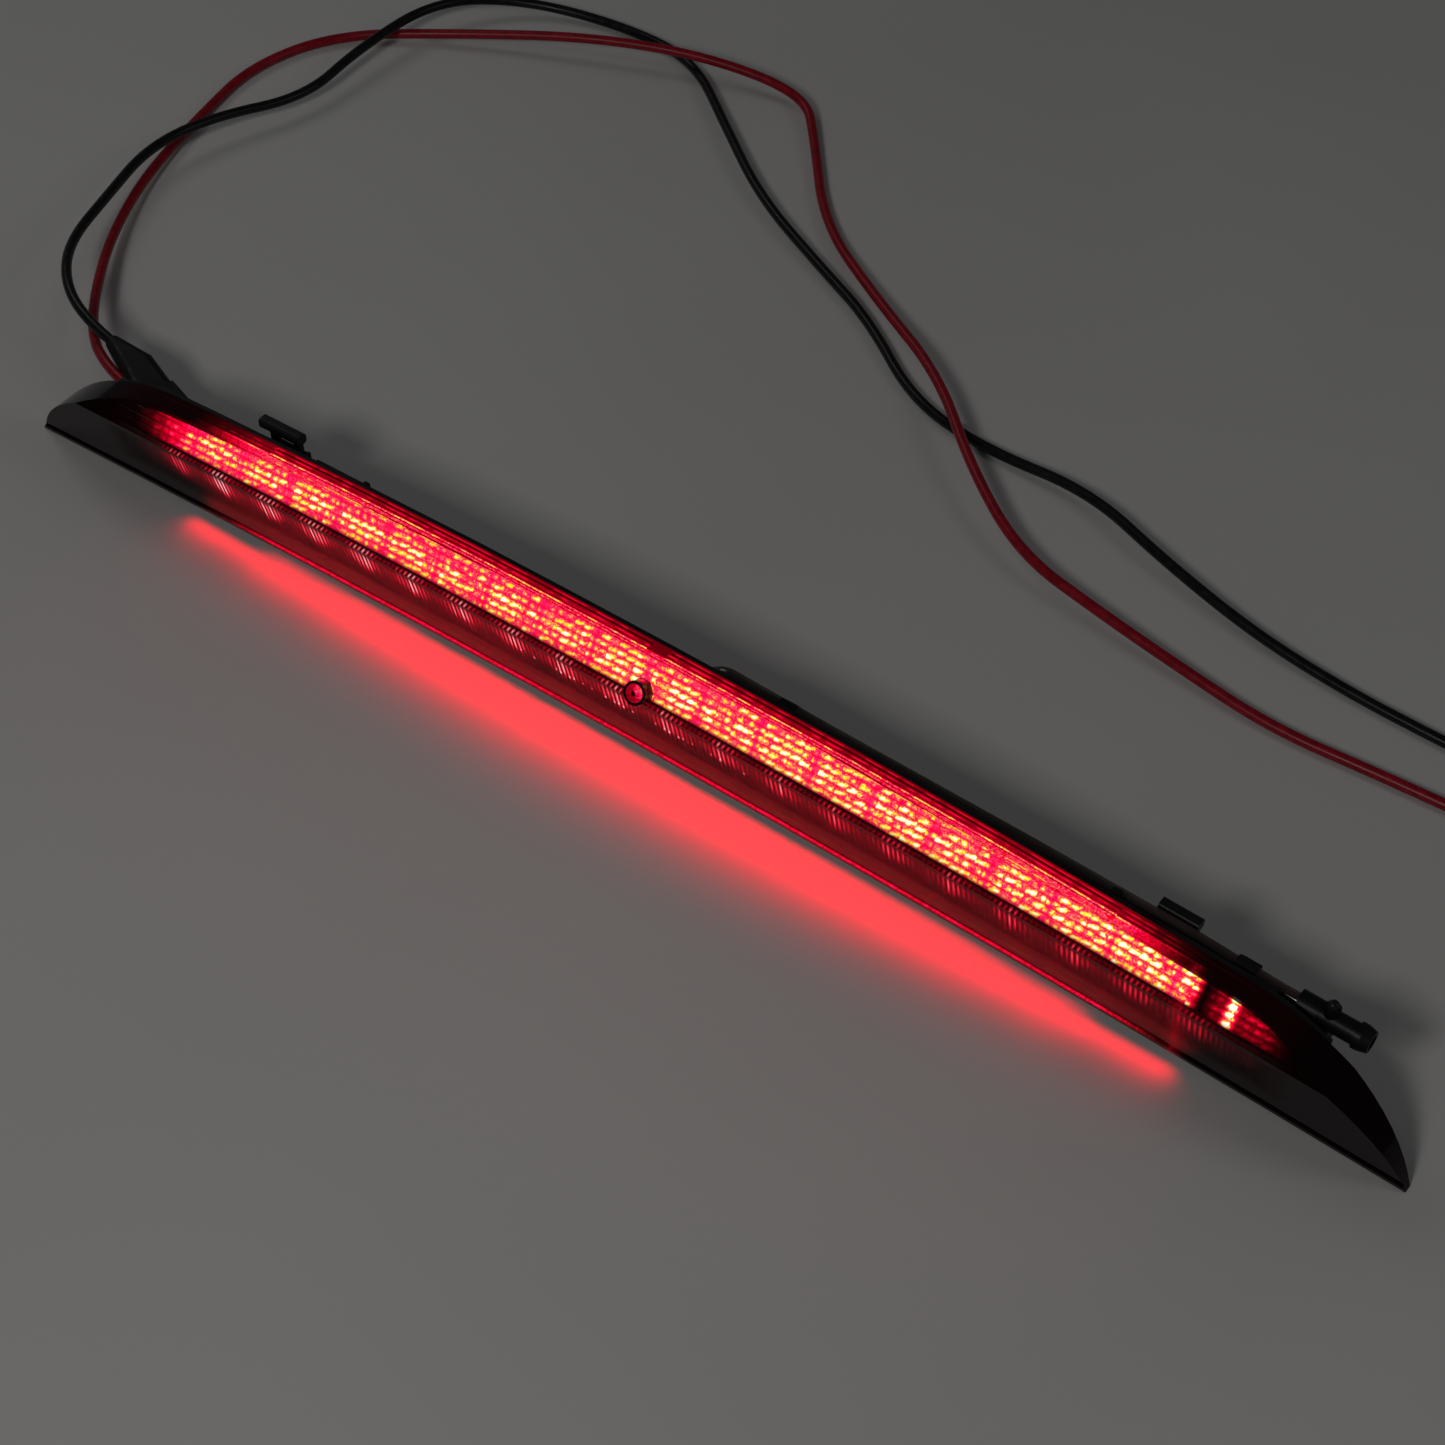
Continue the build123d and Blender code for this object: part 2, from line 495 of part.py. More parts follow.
def inner_leads():
    """Two short insulated leads from the board header to the socket pins."""
    leads = []
    for k, y in enumerate((-PIN_Y, PIN_Y)):
        a = (PLUG_FRAME * Pos(-5.5, y, 0)).position
        b = (PLUG_FRAME * Pos(-8.3, y, 0)).position
        hole = (-1.25, 1.25)[k]
        d = (HEADER_FRAME * Pos(-3.4, hole, -1.35)).position
        c = (HEADER_FRAME * Pos(-5.2, hole, -1.35)).position
        path = FilletPolyline([a, b, c, d], radius=[0.9, 0.9])
        leads.append(sweep(Plane(origin=path @ 0, z_dir=path % 0) * Circle(0.55), path=path))
    return leads


def plug_body():
    body = box_between(1.9, 10.4, -4.2, 4.2, -3.2, 3.2) + box_between(10.2, 17.2, -5.6, 5.6, -4.6, 4.6)
    for y in (-PIN_Y, PIN_Y):
        body -= box_between(1.0, 14.0, y - 1.05, y + 1.05, -1.05, 1.05)
        body += box_between(11.7, 13.3, math.copysign(2.6, y) - 0.4, math.copysign(2.6, y) + 0.4, 4.4, 5.9)
    body -= box_between(13.4, 18, -4.3, 4.3, -2.7, 2.7)
    body -= Pos(12.5, 0, 5.1) * Rot(90, 0, 0) * Cylinder(0.55, 8)
    return PLUG_FRAME * body


def plug_latch():
    lever = box_between(3.4, 15.6, -2.0, 2.0, 5.5, 6.4) + box_between(3.4, 4.75, -2.0, 2.0, 4.8, 5.6)
    lever += box_between(12.0, 13.0, -2.0, 2.0, 5.1, 5.6)
    lever += Pos(12.5, 0, 5.1) * Rot(90, 0, 0) * Cylinder(0.5, 5.8)
    return PLUG_FRAME * lever


def terminals():
    parts = []
    for y in (-PIN_Y, PIN_Y):
        box = box_between(2.2, 10.2, y - 1.0, y + 1.0, -1.0, 1.0)
        box -= box_between(1.5, 8.6, y - 0.42, y + 0.42, -0.42, 0.42)
        box += Pos(11.6, y, 0) * Rot(0, 90, 0) * (Cylinder(1.0, 3.0) - Pos(0, 0, 0.4) * Cylinder(0.6, 3.0))
        parts.append(PLUG_FRAME * box)
    return parts


def rod_between(a, b, r0, r1=None):
    a, b = Vector(*a), Vector(*b)
    plane = Plane(origin=(a + b) / 2, z_dir=b - a)
    length = (b - a).length
    solid = Cylinder(r0, length) if r1 is None else Cone(r0, r1, length)
    return Location(plane) * solid


def along(a, b, t):
    return tuple(p + (q - p) * t for p, q in zip(a, b))


def plug_boot():
    """Tapered rubber boot: it narrows onto the black wire, and the red one leaves its front side."""
    sections = []
    for x, y, z, wide, high, corner in BOOT_SECTIONS:
        plane = Plane((x, y, z), x_dir=(0, 1, 0), z_dir=(1, 0, 0))
        sections.append(plane * RectangleRounded(wide, high, corner))
    boot = loft(sections[:2]) + loft(sections[1:])
    boot += rod_between(along(RED_IN, RED_OUT, 0.5), RED_OUT, 2.8, 2.1)
    boot -= rod_between(along(BLACK_IN, BLACK_OUT, -0.2), along(BLACK_IN, BLACK_OUT, 1.1), WIRE_R + 0.02)
    boot -= rod_between(along(RED_IN, RED_OUT, -0.2), along(RED_IN, RED_OUT, 1.0), WIRE_R + 0.02)
    boot -= rod_between(RED_OUT, RED_BESIDE, WIRE_R + 0.15)
    return PLUG_FRAME * boot


def boot_leads():
    """First stretch of each wire, from its terminal to the tip of the boot."""
    return [PLUG_FRAME * rod_between(a, b, WIRE_R) for a, b in ((BLACK_IN, BLACK_OUT), (RED_IN, RED_OUT))]


# ---- loose wires -------------------------------------------------------
def loose_wire(name, route):
    """Tube along straight runs with the largest arcs that the runs allow."""
    pts = [Vector(*p) for p in route]
    runs = [(b - a).length for a, b in zip(pts, pts[1:])]
    radii = []
    for i in range(1, len(pts) - 1):
        turn = (pts[i] - pts[i - 1]).get_angle(pts[i + 1] - pts[i])
        radii.append(0.45 * min(runs[i - 1], runs[i]) / math.tan(math.radians(turn / 2)))
    path = FilletPolyline(pts, radius=radii)
    tube = sweep(Plane(origin=path @ 0, z_dir=path % 0) * Circle(WIRE_R), path=path)
    print(name, "length", round(path.length, 1), "arc radii", [round(r) for r in radii])
    print("   volume over section times length", round(tube.volume / (math.pi * WIRE_R**2 * path.length), 4))
    return tube


def coil_frame(name):
    x, side = COIL_AT[name]
    route = BLACK_ROUTE if name == "black" else RED_ROUTE
    return x, route[-1][1] + side * COIL_R, side


def wire_coil(name):
    """Outer shape of three stacked turns, with the lead in and the lead out."""
    x, y, side = coil_frame(name)
    high = 2 * WIRE_R * (COIL_TURNS + 1)
    route = BLACK_ROUTE if name == "black" else RED_ROUTE
    ring = Pos(x, y, high / 2) * (Cylinder(COIL_R + WIRE_R, high) - Cylinder(COIL_R - WIRE_R, high + 2))
    lead_in = rod_between(route[-1], (x, route[-1][1], WIRE_R), WIRE_R - 0.04)
    leave, end = [(x + px, y - side * py, z) for px, py, z in LEAD_OUT]
    return ring + lead_in + rod_between(leave, end, WIRE_R - 0.04)


def wire_connector(name):
    """Insulated bullet connector that lies across the top of the coil."""
    x, y, side = coil_frame(name)
    px, py, z = LEAD_OUT[-1]
    sleeve = rod_between((x + px, y - side * py, z), (x + px, y + side * 8.5, z), 2.2)
    return sleeve + rod_between((x + px, y + side * 8.0, z), (x + px, y + side * 14.0, z), 1.0)


# ---- write the files ---------------------------------------------------
def save(name, shape):
    if isinstance(shape, (list, tuple)) and len(shape) > 1:
        shape = Compound(children=[s if isinstance(s, Solid) else Solid(s.solids()[0].wrapped)
                                   for s in shape])
    elif isinstance(shape, (list, tuple)):
        shape = shape[0]
    shape = Pos(0, SHIFT_Y, 0) * shape
    os.makedirs("parts", exist_ok=True)
    export_step(shape, f"parts/{name}.step")
    box = shape.bounding_box()
    print(name, len(shape.solids()), "solids", round(shape.volume, 1), "mm3",
          [round(v, 2) for v in (*box.min, *box.max)])


NODES = {
    "outer_lens": outer_lens, "inner_optic": inner_optic, "lower_optic": lower_optic,
    "light_box": light_box, "led_board": led_board, "leds": leds, "resistors": resistors,
    "board_screws": board_screws, "board_header": board_header, "inner_leads": inner_leads,
    "rear_housing": rear_housing, "seal_bead": seal_bead, "nozzle_body": nozzle_body,
    "jet_ball": jet_ball, "nozzle_seal": nozzle_seal, "washer_hose": washer_hose,
    "hose_clips": hose_clips, "coupling_body": coupling_body, "coupling_seal": coupling_seal,
    "release_button": release_button, "button_spring": button_spring,
    "left_clip": lambda: spring_clip("left"), "right_clip": lambda: spring_clip("right"),
    "socket_pins": socket_pins, "plug_body": plug_body, "plug_latch": plug_latch,
    "terminals": terminals, "plug_boot": plug_boot, "boot_leads": boot_leads,
    "black_wire": lambda: loose_wire("black_wire", BLACK_ROUTE),
    "red_wire": lambda: loose_wire("red_wire", RED_ROUTE),
    "black_coil": lambda: wire_coil("black"), "red_coil": lambda: wire_coil("red"),
    "black_connector": lambda: wire_connector("black"), "red_connector": lambda: wire_connector("red"),
}

if __name__ == "__main__":
    for node, make in NODES.items():
        save(node, make())
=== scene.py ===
"""Looks of a third brake light with a rear washer jet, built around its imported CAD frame. Metres."""
import math

import bpy
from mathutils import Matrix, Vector


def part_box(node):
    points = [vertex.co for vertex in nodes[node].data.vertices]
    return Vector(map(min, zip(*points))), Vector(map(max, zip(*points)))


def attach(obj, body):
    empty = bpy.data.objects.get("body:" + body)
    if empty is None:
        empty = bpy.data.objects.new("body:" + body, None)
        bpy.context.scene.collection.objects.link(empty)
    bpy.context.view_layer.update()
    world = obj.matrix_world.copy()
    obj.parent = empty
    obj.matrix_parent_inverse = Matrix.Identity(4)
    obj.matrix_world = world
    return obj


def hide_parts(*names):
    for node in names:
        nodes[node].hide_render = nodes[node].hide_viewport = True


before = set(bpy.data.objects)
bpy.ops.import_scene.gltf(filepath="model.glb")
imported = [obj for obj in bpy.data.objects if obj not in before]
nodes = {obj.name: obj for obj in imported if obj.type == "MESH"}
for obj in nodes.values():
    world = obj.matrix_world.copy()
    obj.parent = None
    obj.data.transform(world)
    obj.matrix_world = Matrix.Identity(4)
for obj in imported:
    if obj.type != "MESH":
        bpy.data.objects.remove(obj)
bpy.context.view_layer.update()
scene = bpy.context.scene
MM = 0.001

# ---- sizes shared with the CAD, in millimetres -------------------------
SHIFT_Y = -7.31                 # the CAD centres the depth of the bar on y = 0
HALF_LENGTH, BOW = 210.0, 6.0   # the bar bends upward in the middle
ARC_R = (HALF_LENGTH**2 + BOW**2) / (2 * BOW)
RIDGE_Y, RIDGE_Z = -5.0 + SHIFT_Y, 22.5
FACE_EDGE_Y = 1.6 + SHIFT_Y     # where the lit face turns into the ribbed top
FACE_Y, FACE_Z = 0.5337, 0.8457     # unit vector up along the lit face
CELL = 16.3                     # pitch of the lamps
COLUMN = CELL / 6               # pitch of the pillows
ROW_LOW, ROW = 0.8, 2.06        # lowest pillow row and its height, along the face
FLUTE = 1.4                     # pitch of the flutes
RAILS_Y = (2.35, 3.65, 4.95)    # ribs along the top strip, before the shift
WIRE_R = 1.5
COIL_R, COIL_TURNS, COIL_STEPS = 16.5, 3, 12


# ---- camera ------------------------------------------------------------
def add_camera():
    data = bpy.data.cameras.new("camera")
    data.lens, data.sensor_width = 73.13, 36.0
    data.clip_start, data.clip_end = 0.01, 50.0
    camera = bpy.data.objects.new("camera", data)
    camera.location = (0.29997, -0.38324, 0.54963)
    target = Vector((0.0063, 0.01509, 0.0))
    camera.rotation_euler = (target - camera.location).to_track_quat("-Z", "Y").to_euler()
    scene.collection.objects.link(camera)
    scene.camera = camera


add_camera()


# ---- node trees --------------------------------------------------------
class Value:
    """A number inside a material, so that its patterns read as plain sums."""

    def __init__(self, tree, socket):
        self.tree, self.socket = tree, socket

    def __add__(self, other):
        return self.tree.math("ADD", self, other)

    def __sub__(self, other):
        return self.tree.math("SUBTRACT", self, other)

    def __rsub__(self, other):
        return self.tree.math("SUBTRACT", other, self)

    def __mul__(self, other):
        return self.tree.math("MULTIPLY", self, other)

    def __truediv__(self, other):
        return self.tree.math("DIVIDE", self, other)

    __radd__, __rmul__ = __add__, __mul__


class Tree:
    """One material's node tree, with a short name for each kind of node."""

    def __init__(self, name):
        self.material = bpy.data.materials.new(name)
        self.material.use_nodes = True
        self.material.node_tree.nodes.clear()
        self.place = self.node("TexCoord").outputs["Object"]

    def node(self, kind, inputs=None, **settings):
        made = self.material.node_tree.nodes.new("ShaderNode" + kind)
        for key, value in settings.items():
            setattr(made, key, value)
        for key, value in (inputs or {}).items():
            self.plug(value, made.inputs[key])
        return made

    def plug(self, value, socket):
        if isinstance(value, Value):
            value = value.socket
        if isinstance(value, bpy.types.NodeSocket):
            self.material.node_tree.links.new(value, socket)
        else:
            socket.default_value = value

    def math(self, operation, a, b=0.0):
        return Value(self, self.node("Math", {0: a, 1: b}, operation=operation).outputs[0])

    def call(self, operation, a, b=0.0):
        """Math that isn't a plain sum, such as FLOOR, FRACT, MAXIMUM or EXPONENT."""
        return self.math(operation, a, b)

    def smooth(self, value, low, high, out_low=0.0, out_high=1.0):
        """out_low up to low, out_high from high on, and a soft step between."""
        made = self.node("MapRange", {"Value": value, "From Min": low, "From Max": high,
                                      "To Min": out_low, "To Max": out_high},
                         interpolation_type="SMOOTHSTEP")
        return Value(self, made.outputs["Result"])

    def bump_at(self, value, centre, width):
        """A soft bell of height 1 around centre."""
        off = (value - centre) / width
        return self.call("EXPONENT", off * off * -1.0)

    def vector(self, x=0.0, y=0.0, z=0.0):
        return self.node("CombineXYZ", {0: x, 1: y, 2: z}).outputs[0]

    def random(self, x, y, seed=0.0):
        """Two different random numbers for each whole-number pair."""
        made = self.node("TexWhiteNoise", {"Vector": self.vector(x, y, seed)}, noise_dimensions="3D")
        parts = self.node("SeparateColor", {0: made.outputs["Color"]})
        return Value(self, parts.outputs[0]), Value(self, parts.outputs[1])

    def noise(self, scale, detail=2.0, place=None, roughness=0.5, distortion=0.0):
        made = self.node("TexNoise", {"Vector": place or self.place, "Scale": scale, "Detail": detail,
                                      "Roughness": roughness, "Distortion": distortion})
        return Value(self, made.outputs[0])

    def ramp(self, value, stops, interpolation="LINEAR"):
        made = self.node("ValToRGB", {0: value})
        made.color_ramp.interpolation = interpolation
        elements = made.color_ramp.elements
        while len(elements) < len(stops):
            elements.new(0.5)
        for element, (position, colour) in zip(elements, stops):
            element.position, element.color = position, (*colour, 1.0)
        return made.outputs[0]

    def mix(self, factor, a, b):
        made = self.node("Mix", data_type="RGBA")
        self.plug(factor, made.inputs[0])
        for index, colour in ((6, a), (7, b)):
            self.plug((*colour, 1.0) if isinstance(colour, tuple) else colour, made.inputs[index])
        return made.outputs[2]

    def bump(self, height, distance, strength=0.5):
        made = self.node("Bump", {"Height": height, "Distance": distance, "Strength": strength})
        return made.outputs[0]

    def finish(self, **inputs):
        """Principled shader with these sockets, spaces written as underscores."""
        shader = self.node("BsdfPrincipled")
        for key, value in inputs.items():
            socket = shader.inputs[key.replace("_", " ")]
            self.plug((*value, 1.0) if isinstance(value, tuple) and len(value) == 3 else value, socket)
        output = self.node("OutputMaterial")
        self.plug(shader.outputs[0], output.inputs[0])
        return self.material


# ---- places on the lamp, in millimetres --------------------------------
class Lamp:
    """Where a shading point is on the bowed bar."""

    def __init__(self, tree):
        split = tree.node("SeparateXYZ", {0: tree.place})
        x, y, z = (Value(tree, socket) * 1000.0 for socket in split.outputs)
        self.x, self.y = x, y
        self.height = z - BOW + x * x * (BOW / HALF_LENGTH**2)   # above the lower edge, bow taken out
        self.along = x * (1.0 - self.height / ARC_R)             # along the bar
        self.up = (y - RIDGE_Y) * FACE_Y + (self.height - RIDGE_Z) * FACE_Z   # up the lit face


# ---- materials ---------------------------------------------------------
# colours of the red light, each as a level and its colour
GLOW = [  # through the pillows, from dark to dazzling
    (0.00, (0.0, 0.0, 0.0)), (0.06, (0.04, 0.0, 0.001)), (0.16, (0.26, 0.0, 0.006)),
    (0.32, (0.80, 0.0, 0.022)), (0.46, (1.0, 0.006, 0.10)), (0.56, (1.0, 0.09, 0.09)),
    (0.66, (1.0, 0.36, 0.02)), (0.78, (1.0, 0.74, 0.0)), (0.90, (1.0, 0.90, 0.16)),
    (1.00, (1.0, 1.0, 0.85))]
FLUTE_GLOW = [  # through the flutes, pinker
    (0.00, (0.0, 0.0, 0.0)), (0.15, (0.10, 0.0, 0.003)), (0.35, (0.42, 0.0, 0.012)),
    (0.60, (0.95, 0.02, 0.06)), (0.80, (1.0, 0.25, 0.28)), (1.00, (1.0, 0.6, 0.62))]
LENS_RED, LENS_BLACK = (0.022, 0.0003, 0.0012), (0.005, 0.0003, 0.0006)


def moulded(name, colour, roughness, grain=0.12, grain_size=2600.0):
    """Moulded plastic: a fine spark-eroded grain, and faint flow marks in its colour and gloss."""
    tree = Tree(name)
    fine = tree.noise(grain_size, 3.0)
    broad = tree.noise(55.0, 3.0, distortion=0.6)
    lighter = tuple(c * 1.7 + 0.002 for c in colour)
    base = tree.mix(tree.smooth(broad, 0.35, 0.75), colour, lighter)
    rough = tree.smooth(fine * 0.5 + broad * 0.5, 0.3, 0.7, roughness - grain, roughness + grain)
    return tree.finish(Base_Color=base, Roughness=rough, Specular_IOR_Level=0.2,
                       Normal=tree.bump(fine, 0.00004, 0.35))


def smoked_lens():
    """Glossy smoked red plastic: clearest over the lamps, and black along the crease, low on the band
    and at the ends. Its ribbed top strip carries the red light along."""
    tree = Tree("smoked_lens")
    lamp = Lamp(tree)
    haze = tree.noise(38.0, 4.0, distortion=0.8)
    scratches = tree.noise(900.0, 2.0, place=tree.node(
        "Mapping", {0: tree.place, 3: (0.04, 1.0, 1.0)}).outputs[0])
    # masks, 1 where the lens is that part
    wings = tree.smooth(tree.call("ABSOLUTE", lamp.along), 170.0, 181.0)
    band = tree.smooth(lamp.height, 22.4, 21.8)
    crease = tree.bump_at(lamp.height, 21.8, 1.3)
    low = tree.smooth(lamp.height, 10.5, 5.0)
    facing = tree.node("SeparateXYZ", {0: tree.node("NewGeometry").outputs["Normal"]}).outputs[2]
    top = tree.smooth(Value(tree, facing), 0.72, 0.86)
    solid = tree.call("MAXIMUM", tree.call("MAXIMUM", wings, crease), tree.call("MAXIMUM", low, top))
    alpha = solid * (0.68 - band * 0.22) + (0.30 + band * 0.22)
    black = tree.call("MAXIMUM", tree.call("MAXIMUM", wings, low), haze * 0.4)
    # light in the top strip: broken lines on the ribs, and a brighter edge next to the lit face
    rails = [tree.bump_at(lamp.y, y + SHIFT_Y, 0.24) for y in RAILS_Y]
    broken = tree.smooth(tree.noise(260.0, 1.0), 0.42, 0.58, 0.25, 1.0)
    notch = tree.smooth(tree.call("ABSOLUTE", lamp.along - 1.2), 2.0, 3.2)
    reach = tree.smooth(lamp.along, -150.0, -120.0) * tree.smooth(lamp.along, 152.0, 128.0)
    line = (rails[0] + rails[1] * 0.8 + rails[2] * 0.6) * broken * notch
    tip = tree.bump_at(lamp.along, 150.0, 1.6) * 0.4
    web = tree.noise(1100.0, 2.0, distortion=2.0)
    edge = tree.smooth(lamp.y, FACE_EDGE_Y + 1.3, FACE_EDGE_Y + 0.7)
    edge = edge * tree.smooth(web, 0.35, 0.7, 0.18, 0.5)
    level = (line * 0.34 + 0.07 + haze * 0.06 + edge) * reach * top + tip * edge * 0.6
    rough = tree.smooth(haze * 0.6 + scratches * 0.4, 0.35, 0.7, 0.03, 0.085)
    return tree.finish(Base_Color=tree.mix(black, LENS_RED, LENS_BLACK), Roughness=rough,
                       Specular_IOR_Level=0.16, Alpha=alpha,
                       Emission_Color=tree.ramp(level, GLOW), Emission_Strength=1.25,
                       Normal=tree.bump(scratches, 0.000006, 0.2))


def pillow_optic():
    """Clear pillow plate lit from behind: rows of hot spots, dimmer between neighbouring lamps."""
    tree = Tree("clear_optic")
    lamp = Lamp(tree)
    column = tree.call("FLOOR", lamp.along / COLUMN + 0.5)
    across = lamp.along / COLUMN - column                       # -0.5 to 0.5 over a pillow
    row = tree.call("FLOOR", (lamp.up - ROW_LOW) / ROW)
    upward = (lamp.up - ROW_LOW) / ROW - row - 0.5
    in_cell = tree.call("FRACT", lamp.along / CELL)
    gap = tree.bump_at(tree.call("ABSOLUTE", in_cell - 0.5), 0.5, 0.055)
    first, second = tree.random(column, row)
    third, fourth = tree.random(column, row, 7.0)

    rightward = tree.smooth(lamp.along, -150.0, 150.0)
    # each row's share of the light, the middle row first everywhere
    rows = tree.bump_at(row, 2.0, 0.9) * 0.42 + tree.bump_at(row, 0.6, 1.1) * 0.16 + 0.46
    rows = rows + rightward * 0.32
    # a streak along the pillow and one or two hot spots in it
    streak = tree.bump_at(upward - across * 0.3, first * 0.24 - 0.12, 0.22)
    streak = streak * tree.smooth(tree.random(column, row, 3.0)[0], 0.15, 0.6)
    spot = tree.bump_at(across, second * 0.6 - 0.3, 0.24) * tree.bump_at(upward, third * 0.4 - 0.2, 0.25)
    web = tree.noise(1300.0, 2.0, distortion=2.0)
    hot = streak * 0.52 + spot * (fourth * 0.8 + 0.2) * 0.72 + tree.smooth(web, 0.47, 0.70) * 0.30
    hot = hot * rows * (1.0 - gap * 0.85)
    level = hot * 0.84 + tree.smooth(web, 0.3, 0.6, 0.33, 0.44)
    # dark seams between the rows and the pillows
    seam = tree.smooth(tree.call("ABSOLUTE", upward), 0.38, 0.5, 1.0, 0.66)
    seam = seam * tree.smooth(tree.call("ABSOLUTE", across), 0.40, 0.5, 1.0, 0.86)
    # the light fades at the left end, and stops at the right before one last bright column
    fade = tree.smooth(lamp.along, -168.0, -142.0) * tree.smooth(lamp.along, 150.5, 154.0, 1.0, 0.0)
    last = tree.bump_at(lamp.along, 161.0, 1.3) * 1.25 + tree.smooth(lamp.along, 178.0, 166.0) * 0.20
    dim = tree.call("MAXIMUM", fade, last * tree.smooth(lamp.along, 154.0, 158.0))
    glow = tree.ramp(level * seam * dim, GLOW)
    return tree.finish(Base_Color=(0.03, 0.0005, 0.002), Roughness=0.25, Emission_Color=glow,
                       Emission_Strength=2.7)


def flute_optic():
    """Fluted strip behind the band: short streaks under each lamp, a row of dots in the middle."""
    tree = Tree("flute_optic")
    lamp = Lamp(tree)
    index = tree.call("FLOOR", lamp.along / FLUTE + 0.5)
    across = lamp.along / FLUTE - index
    first, second = tree.random(index, 3.0)
    line = tree.bump_at(across, 0.0, 0.24)
    in_cell = tree.call("FRACT", lamp.along / CELL)
    patch = tree.bump_at(in_cell, 0.45, 0.26)
    below = 14.4 - lamp.height              # down from what the crease hides
    reach = patch * 3.0 + first * 1.6 + 1.2
    streak = tree.smooth(below / reach, 0.3, 1.3, 1.0, 0.0)
    level = line * streak * (patch * 0.85 + 0.15) * (second * 0.5 + 0.5) * 0.95
    tail = line * tree.smooth(below, 8.0, 0.0) * 0.20 * (patch * 0.6 + 0.4)
    haze = tree.smooth(below, 11.0, 0.0) * 0.07 + tree.noise(60.0, 2.0) * 0.02
    # 0 over the darker panel in the middle and 1 beyond it
    centre = tree.smooth(tree.call("ABSOLUTE", lamp.along + 4.0), 33.0, 38.0)
    dots = tree.bump_at(across, 0.0, 0.2) * tree.bump_at(lamp.height, 11.3, 0.42)
    dots = dots * (1.0 - centre) * tree.smooth(first, 0.45, 0.6) * 0.9
    dim = tree.smooth(lamp.height, 10.0, 12.0) * (1.0 - centre) + centre
    ends = tree.smooth(tree.call("ABSOLUTE", lamp.along), 172.0, 146.0)
    leftward = tree.smooth(lamp.along, -60.0, 110.0, 1.0, 0.62)
    glow = tree.ramp((level + tail + haze * dim) * ends * leftward + dots, FLUTE_GLOW)
    return tree.finish(Base_Color=(0.02, 0.0004, 0.0015), Roughness=0.3, Emission_Color=glow,
                       Emission_Strength=4.0)


def lit_inside(name, colour, glow, strength):
    """Something inside the lamp that stands in the red light: the lamps' light on it is painted as a red
    emission glow, except on the LED chips, where the glow is their own lamp light.
    """
    tree = Tree(name)
    wash = tree.noise(120.0, 3.0)
    base = tree.mix(tree.smooth(wash, 0.3, 0.7), colour, tuple(c * 0.7 for c in colour))
    # painted red light on the reflector and the board; on the LED chips this is their own lamp light
    painted_and_lamp_glow = tree.mix(tree.smooth(wash, 0.3, 0.7), glow, tuple(c * 0.5 for c in glow))
    return tree.finish(Base_Color=base, Roughness=tree.smooth(wash, 0.3, 0.7, 0.3, 0.45),
                       Emission_Color=painted_and_lamp_glow, Emission_Strength=strength)


def jet_plastic(name):
    """Smoked nozzle: a dark rim round a throat, with the lamps' red light behind it painted into the
    throat as emission.
    """
    tree = Tree(name)
    lamp = Lamp(tree)
    right, up = lamp.along, lamp.up - 1.9
    radius = tree.call("SQRT", right * right + up * up)
    painted_throat_light = tree.smooth(radius, 2.5, 2.0)
    # the painted light is left out in a small spot to the lower left of the throat
    tip_right, tip_up = right + 0.9, up + 0.8
    tip = tree.smooth(tree.call("SQRT", tip_right * tip_right + tip_up * tip_up), 0.8, 1.2)
    swirl = tree.noise(1100.0, 2.0, distortion=1.0)
    glow = tree.ramp((swirl * 0.5 + 0.22) * painted_throat_light * tip, GLOW)
    return tree.finish(Base_Color=(0.010, 0.002, 0.003),
                       Roughness=tree.smooth(swirl, 0.3, 0.7, 0.16, 0.3),
                       Specular_IOR_Level=0.4, Emission_Color=glow, Emission_Strength=0.9)


def cord_plastic(name, colour, glint):
    """Soft PVC insulation, faintly mottled, with the satin skin of an extruded wire."""
    tree = Tree(name)
    mottle = tree.noise(420.0, 3.0)
    skin = tree.noise(4200.0, 2.0)
    base = tree.mix(tree.smooth(mottle, 0.3, 0.75), colour, glint)
    rough = tree.smooth(skin * 0.5 + mottle * 0.5, 0.3, 0.7, 0.26, 0.44)
    return tree.finish(Base_Color=base, Roughness=rough, Specular_IOR_Level=0.3,
                       Normal=tree.bump(skin, 0.00003, 0.3))


def smoke_hose():
    """Smoky see-through hose with dull streaks along it, some darker and more solid, some lighter and
    clearer.
    """
    tree = Tree("hose_smoke")
    streaks = tree.noise(300.0, 3.0, place=tree.node(
        "Mapping", {0: tree.place, 3: (0.12, 1.0, 1.0)}).outputs[0])
    base = tree.mix(tree.smooth(streaks, 0.35, 0.7), (0.028, 0.016, 0.013), (0.075, 0.045, 0.035))
    rough = tree.smooth(streaks, 0.3, 0.7, 0.07, 0.2)
    return tree.finish(Base_Color=base, Roughness=rough,
                       Alpha=tree.smooth(streaks, 0.3, 0.7, 0.86, 0.68),
                       Coat_Weight=0.5, Coat_Roughness=0.05)


def rubber(name, colour, roughness):
    """Rubber with a dusty bloom."""
    tree = Tree(name)
    bloom = tree.noise(240.0, 5.0, distortion=0.4)
    pores = tree.noise(3200.0, 2.0)
    base = tree.mix(tree.smooth(bloom, 0.45, 0.8), colour, tuple(c * 1.8 + 0.003 for c in colour))
    rough = tree.smooth(bloom, 0.3, 0.7, roughness - 0.1, roughness + 0.1)
    return tree.finish(Base_Color=base, Roughness=rough, Specular_IOR_Level=0.25,
                       Normal=tree.bump(pores, 0.00005, 0.4))


